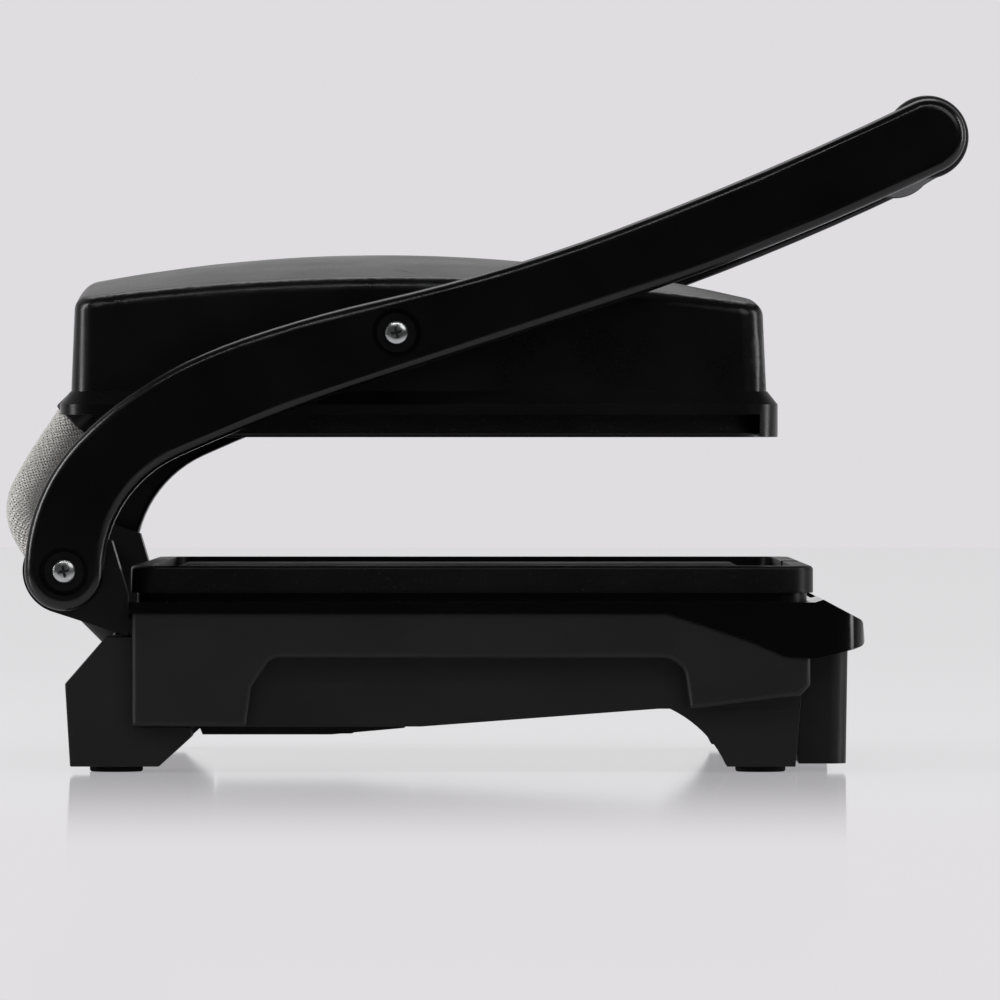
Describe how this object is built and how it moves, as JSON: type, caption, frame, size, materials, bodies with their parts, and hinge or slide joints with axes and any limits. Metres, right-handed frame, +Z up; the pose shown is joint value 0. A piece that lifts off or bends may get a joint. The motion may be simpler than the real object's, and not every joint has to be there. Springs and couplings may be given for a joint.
{
  "type": "contact grill",
  "caption": "Countertop contact grill: ribbed plates in a low base and a hinged lid, carried by curved side arms joined by a round cross-bar handle, with a braided cable sleeve.",
  "frame": {"origin": "centre of the bounding box in plan, at the underside of the rubber feet", "axes": "+Z up, front edge and handle towards -Y, the side with the seen arm is -X"},
  "size_m": [0.314, 0.329, 0.228],
  "materials": {
    "base_plastic": "matt, fine texture",
    "frame_gloss": "gloss",
    "nonstick": "satin non-stick coating on cast aluminium",
    "lid_black": "satin",
    "arm_black": "satin, glass-filled",
    "grip_black": "satin",
    "black_casting": "satin paint",
    "gland_plastic": "satin",
    "rubber": "matt",
    "zinc_screw": "zinc plated",
    "dark_screw": "black oxide",
    "dark_steel": "dark plated",
    "sheet_steel": "plain",
    "element_steel": "heat darkened",
    "shield_aluminium": "mill finish",
    "ceramic": "unglazed",
    "fibre_sleeve": "woven",
    "braided_sleeve": "braided",
    "lens": "clear tinted"
  },
  "bodies": {
    "base": {"base_housing": "base_plastic", "side_panels": "base_plastic", "rear_legs": "base_plastic", "front_legs": "base_plastic", "front_panel": "base_plastic", "base_top_frame": "frame_gloss", "base_cover": "base_plastic", "base_cover_screws": "dark_screw", "rubber_feet": "rubber", "lower_plate": "nonstick", "lower_plate_screws": "zinc_screw", "lower_element": "element_steel", "lower_heat_shield": "shield_aluminium", "lower_thermostat": "sheet_steel", "thermal_fuse": "fibre_sleeve", "terminal_block": "ceramic", "mains_gland": "gland_plastic", "lower_cable_gland": "gland_plastic", "left_hinge_bracket": "black_casting", "right_hinge_bracket": "black_casting", "hinge_bushes": "sheet_steel", "bracket_screws": "dark_screw", "sleeve_lower": "braided_sleeve"},
    "hinge": {"hinge_pins": "sheet_steel", "hinge_washers": "dark_steel", "hinge_screws": "zinc_screw", "sleeve_middle": "braided_sleeve"},
    "arms": {"left_arm": "arm_black", "right_arm": "arm_black", "handle_core": "sheet_steel", "handle_grip": "grip_black"},
    "lid": {"lid_housing": "lid_black", "lid_tray": "sheet_steel", "lid_screws": "zinc_screw", "upper_plate": "nonstick", "upper_plate_screws": "zinc_screw", "upper_element": "element_steel", "upper_heat_shield": "shield_aluminium", "upper_thermostat": "sheet_steel", "upper_cable_gland": "gland_plastic", "pivot_brackets": "sheet_steel", "pivot_studs": "sheet_steel", "pivot_collars": "gland_plastic", "pivot_washers": "dark_steel", "pivot_screws": "zinc_screw", "indicator_lenses": "lens", "sleeve_upper": "braided_sleeve"}
  },
  "joints": [
    {"name": "arm_press", "type": "hinge", "parent": "base", "child": "hinge", "pos_m": [0, 0.1395, 0.068], "axis": [-1, 0, 0], "range_deg": [-20, 0], "deforming": ["sleeve_lower"]},
    {"name": "arm_open", "type": "hinge", "parent": "hinge", "child": "arms", "pos_m": [0, 0.1395, 0.068], "axis": [-1, 0, 0], "range_deg": [0, 75], "deforming": ["sleeve_middle"]},
    {"name": "lid_level", "type": "hinge", "parent": "arms", "child": "lid", "pos_m": [0, 0.028, 0.148], "axis": [-1, 0, 0], "range_deg": [0, 20], "deforming": ["sleeve_upper"]}
  ],
  "couplings": [
    {"joint": "arm_press", "follows": "lid_level", "ratio": -1}
  ]
}
